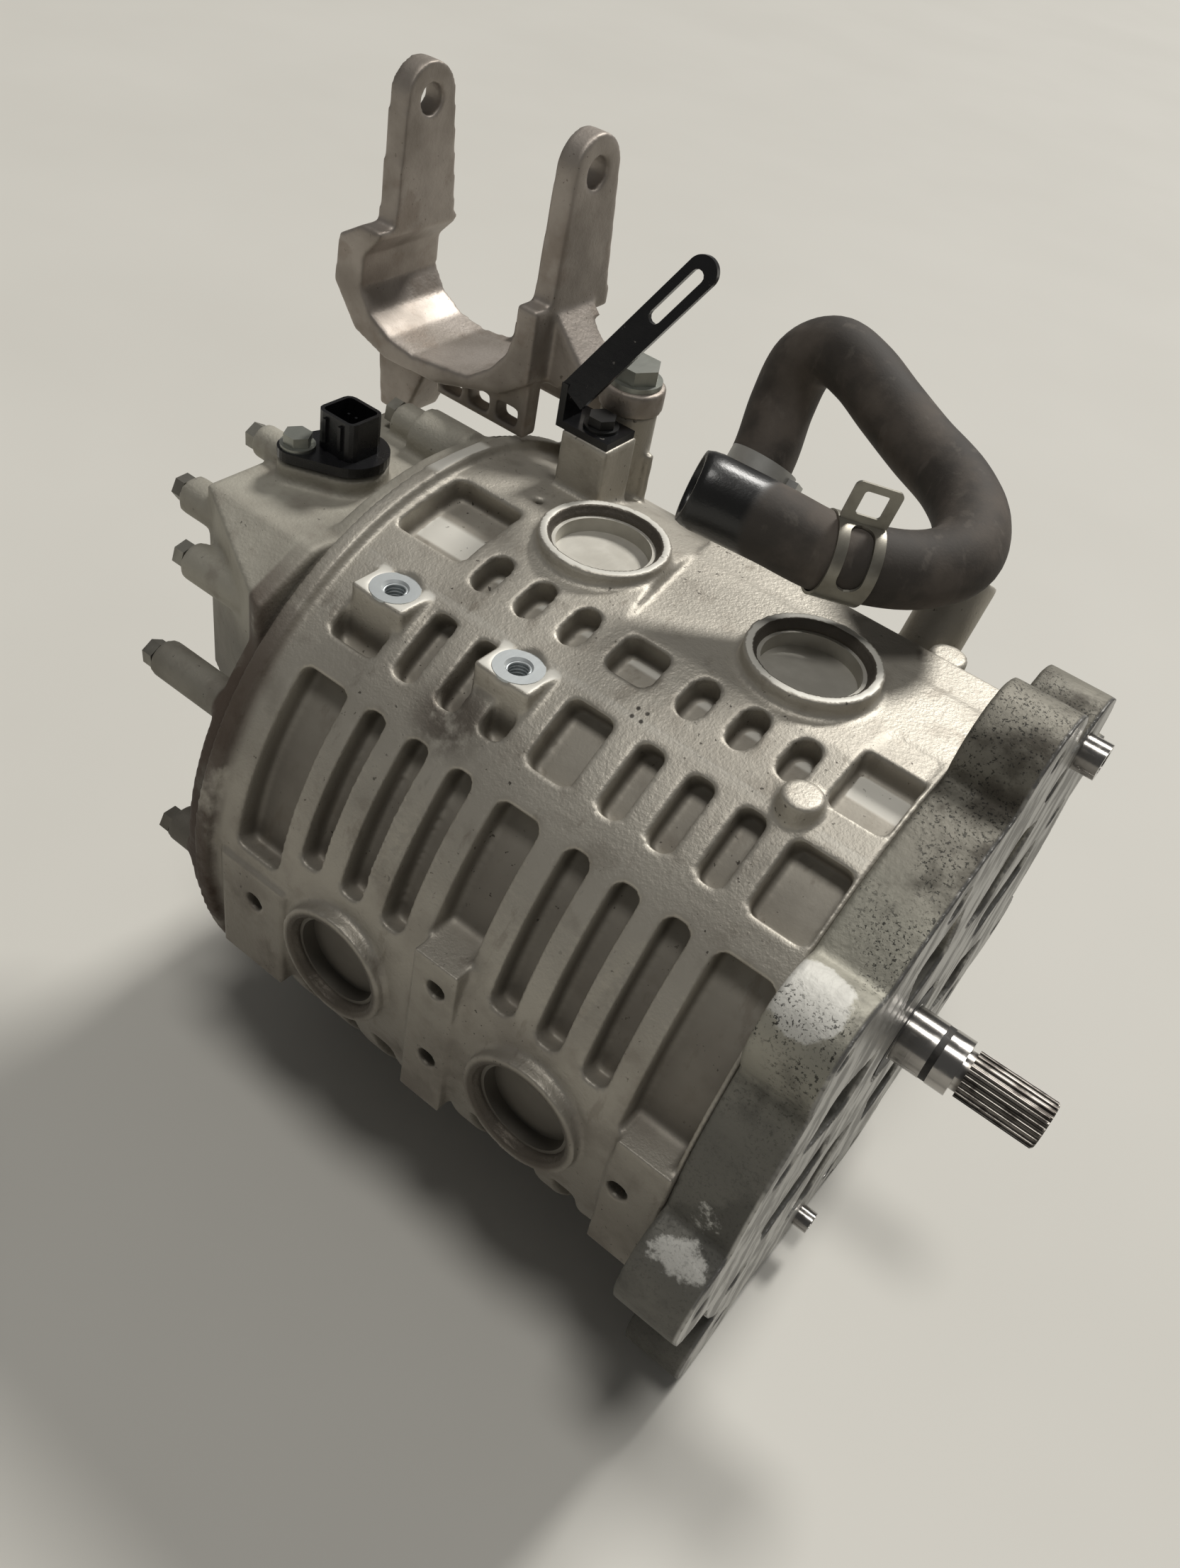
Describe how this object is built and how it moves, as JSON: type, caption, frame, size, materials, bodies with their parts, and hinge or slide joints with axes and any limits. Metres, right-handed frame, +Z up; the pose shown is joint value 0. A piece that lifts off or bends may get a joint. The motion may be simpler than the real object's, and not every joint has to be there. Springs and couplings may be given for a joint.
{
  "type": "electric drive motor",
  "caption": "Water-cooled electric drive motor with ribbed cast housing, eared drive-end plate, splined output shaft, rear cover, mount bracket and coolant hose.",
  "frame": {"origin": "on the shaft axis, in the machined face of the drive-end plate", "axes": "+X runs out along the output shaft, +Z is up through the two upper core plugs, -Y is the ribbed side with the two side core plugs"},
  "size_m": [0.418, 0.3324, 0.3937],
  "materials": {
    "cast_housing": "shot-blasted casting",
    "cast_plate": "weathered casting with a machined face",
    "cast_cover": "matt casting",
    "cast_bracket": "sand-cast",
    "zinc_fasteners": "zinc plated",
    "black_fasteners": "black oxide",
    "plug_steel": "pressed sheet",
    "ground_steel": "ground",
    "plain_steel": "plain",
    "cage_brass": "machined",
    "lamination": "stacked sheet",
    "copper": "enamelled copper",
    "magnet": "coated",
    "end_ring": "turned",
    "black_plastic": "moulded",
    "block_plastic": "moulded",
    "black_paint": "gloss black paint",
    "seal_rubber": "moulded",
    "hose_rubber": "dusty",
    "clamp_steel": "dark spring steel",
    "band_steel": "plain band"
  },
  "bodies": {
    "motor": {"motor_housing": "cast_housing", "drive_end_plate": "cast_plate", "rear_cover": "cast_cover", "rear_cover_gasket": "seal_rubber", "rear_cover_bolts": "zinc_fasteners", "drive_end_bolts": "black_fasteners", "core_plugs": "plug_steel", "thread_inserts": "zinc_fasteners", "dowel_sleeves": "ground_steel", "shaft_seal": "seal_rubber", "front_bearing_outer_race": "ground_steel", "rear_bearing_outer_race": "ground_steel", "bearing_retainer": "plain_steel", "bearing_retainer_screws": "black_fasteners", "bearing_wave_washer": "plain_steel", "stator_core": "lamination", "stator_windings": "copper", "terminal_block": "block_plastic", "phase_studs": "copper", "terminal_cover": "cast_cover", "terminal_cover_screws": "zinc_fasteners", "resolver_stator": "lamination", "resolver_cap": "cast_cover", "resolver_cap_screws": "zinc_fasteners", "resolver_connector": "black_plastic", "connector_seal": "seal_rubber", "connector_bolt": "zinc_fasteners", "mount_bracket": "cast_bracket", "bracket_bolts": "zinc_fasteners", "harness_clip": "black_paint", "harness_clip_bolt": "black_fasteners", "coolant_outlet_pipe": "plain_steel", "coolant_inlet_pipe": "plain_steel", "coolant_hose": "hose_rubber", "pipe_band_clamp": "band_steel", "hose_spring_clamp": "clamp_steel"},
    "rotor": {"rotor_shaft": "ground_steel", "rotor_core": "lamination", "rotor_magnets": "magnet", "rotor_end_rings": "end_ring", "rotor_nut": "plain_steel", "shaft_circlip": "plain_steel", "shaft_o_ring": "seal_rubber", "front_bearing_inner_race": "ground_steel", "rear_bearing_inner_race": "ground_steel", "resolver_rotor": "lamination"},
    "front_cage": {"front_bearing_balls": "ground_steel", "front_bearing_cage": "cage_brass"},
    "rear_cage": {"rear_bearing_balls": "ground_steel", "rear_bearing_cage": "cage_brass"}
  },
  "joints": [
    {"name": "rotor_spin", "type": "hinge", "parent": "motor", "child": "rotor", "pos_m": [0, 0, 0], "axis": [1, 0, 0], "continuous": true},
    {"name": "front_cage_spin", "type": "hinge", "parent": "motor", "child": "front_cage", "pos_m": [-0.019, 0, 0], "axis": [1, 0, 0], "continuous": true},
    {"name": "rear_cage_spin", "type": "hinge", "parent": "motor", "child": "rear_cage", "pos_m": [-0.2735, 0, 0], "axis": [1, 0, 0], "continuous": true}
  ],
  "couplings": [
    {"joint": "front_cage_spin", "follows": "rotor_spin", "ratio": 0.3965},
    {"joint": "rear_cage_spin", "follows": "rotor_spin", "ratio": 0.3969}
  ]
}
